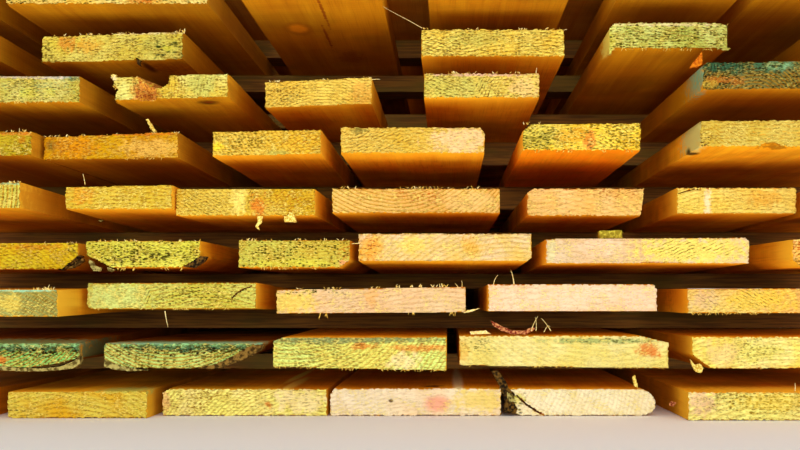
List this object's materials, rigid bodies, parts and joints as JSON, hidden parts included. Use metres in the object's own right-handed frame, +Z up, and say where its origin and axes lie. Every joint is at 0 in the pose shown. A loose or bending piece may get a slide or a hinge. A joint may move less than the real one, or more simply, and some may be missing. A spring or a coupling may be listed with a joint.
{
  "type": "stickered lumber stack",
  "caption": "Stack of rough-sawn softwood boards in courses, with cross spacers between the courses so that air can pass.",
  "frame": {"origin": "on the floor, under the middle of the stack", "axes": "+Y along the boards, away from the pictured ends; +Z up; +X to the right seen from those ends"},
  "size_m": [1.012, 2.481, 0.4542],
  "materials": {
    "sawn_board": "rough-sawn pale yellow softwood, unplaned",
    "sticker_wood": "weathered rough-sawn batten"
  },
  "bodies": {
    "root": {"course_1_board_1": "sawn_board", "course_1_board_2": "sawn_board", "course_1_board_3": "sawn_board", "course_1_board_4": "sawn_board", "course_1_board_5": "sawn_board", "course_1_board_6": "sawn_board", "course_2_board_1": "sawn_board", "course_2_board_2": "sawn_board", "course_2_board_3": "sawn_board", "course_2_board_4": "sawn_board", "course_2_board_5": "sawn_board", "course_3_board_1": "sawn_board", "course_3_board_2": "sawn_board", "course_3_board_3": "sawn_board", "course_3_board_4": "sawn_board", "course_3_board_5": "sawn_board", "course_4_board_1": "sawn_board", "course_4_board_2": "sawn_board", "course_4_board_3": "sawn_board", "course_4_board_4": "sawn_board", "course_4_board_5": "sawn_board", "course_4_board_6": "sawn_board", "course_5_board_1": "sawn_board", "course_5_board_2": "sawn_board", "course_5_board_3": "sawn_board", "course_5_board_4": "sawn_board", "course_5_board_5": "sawn_board", "course_5_board_6": "sawn_board", "course_5_board_7": "sawn_board", "course_6_board_1": "sawn_board", "course_6_board_2": "sawn_board", "course_6_board_3": "sawn_board", "course_6_board_4": "sawn_board", "course_6_board_5": "sawn_board", "course_6_board_6": "sawn_board", "course_7_board_1": "sawn_board", "course_7_board_2": "sawn_board", "course_7_board_3": "sawn_board", "course_7_board_4": "sawn_board", "course_7_board_5": "sawn_board", "course_8_board_1": "sawn_board", "course_8_board_2": "sawn_board", "course_8_board_3": "sawn_board", "course_8_board_4": "sawn_board", "course_8_board_5": "sawn_board", "course_9_board_1": "sawn_board", "course_9_board_2": "sawn_board", "course_9_board_3": "sawn_board", "course_9_board_4": "sawn_board", "course_9_board_5": "sawn_board", "course_9_board_6": "sawn_board", "stickers_line_1": "sticker_wood", "stickers_line_2": "sticker_wood", "stickers_line_3": "sticker_wood", "stickers_line_4": "sticker_wood", "top_course_boards": "sawn_board"}
  },
  "joints": []
}
